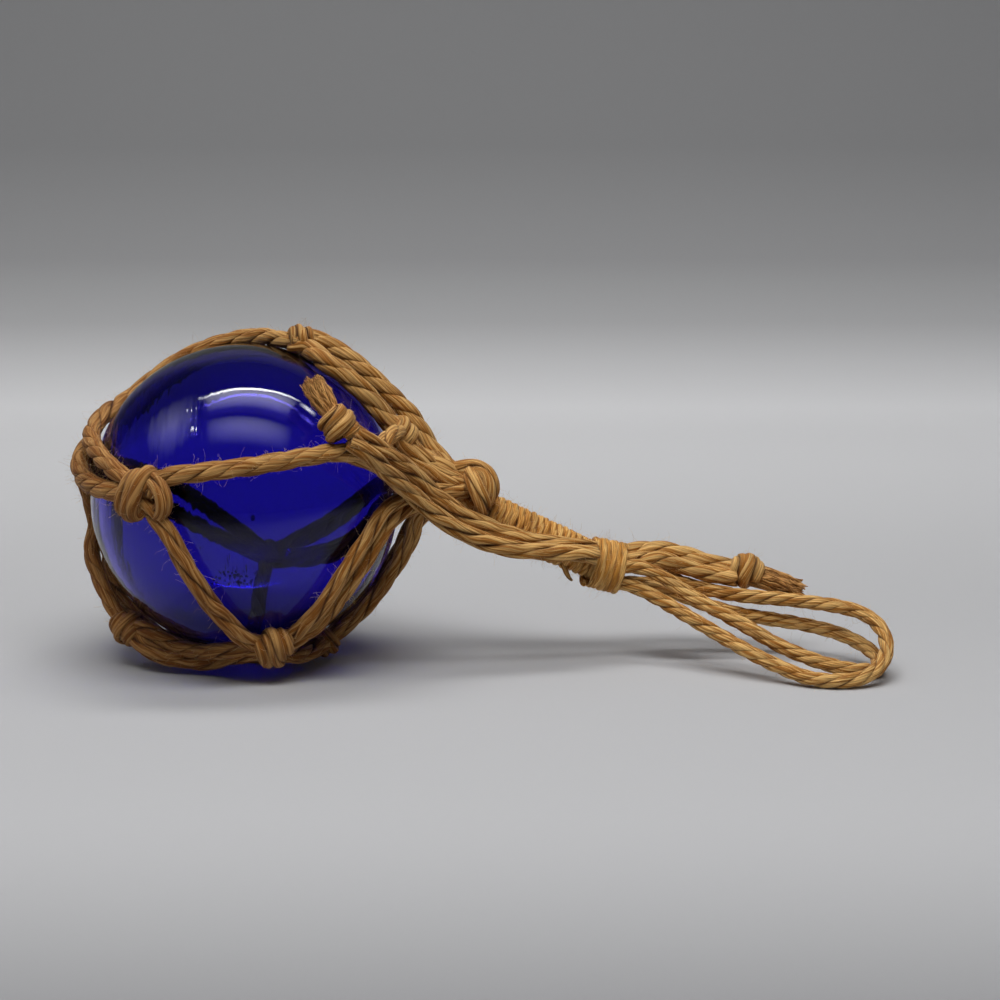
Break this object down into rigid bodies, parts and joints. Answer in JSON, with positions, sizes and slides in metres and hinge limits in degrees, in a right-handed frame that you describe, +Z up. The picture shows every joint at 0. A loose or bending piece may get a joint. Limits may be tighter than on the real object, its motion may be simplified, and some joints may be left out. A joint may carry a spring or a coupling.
{
  "type": "glass float ball",
  "caption": "Small sealed blue glass fishing float in a knotted jute net, lying on its side with a whipped tail and hanging loops.",
  "frame": {"origin": "on the floor, on the small flat under the middle of the ball, where the net's cord rests", "axes": "+Z up; +X from under the ball along the tail towards the hanging loops; -Y is the front, the side with the crossing cords and the short knotted end"},
  "size_m": [0.1987, 0.0783, 0.0844],
  "materials": {
    "cobalt_glass": "clear deep blue blown glass, glossy",
    "jute_cord": "golden tan twisted jute, matt and hairy",
    "jute_frayed": "darker brown frayed jute",
    "jute_twine": "pale tan thin jute twine"
  },
  "bodies": {
    "root": {"glass_ball": "cobalt_glass", "rope_net": "jute_cord", "whipping": "jute_twine", "seizing": "jute_twine", "hanging_loop_front": "jute_cord", "hanging_loop_back": "jute_cord", "front_end_cord_upper": "jute_cord", "front_end_cord_lower": "jute_cord", "front_end_knot": "jute_frayed", "rear_end_cord_upper": "jute_cord", "rear_end_cord_lower": "jute_cord", "rear_end_knot": "jute_frayed"}
  },
  "joints": []
}
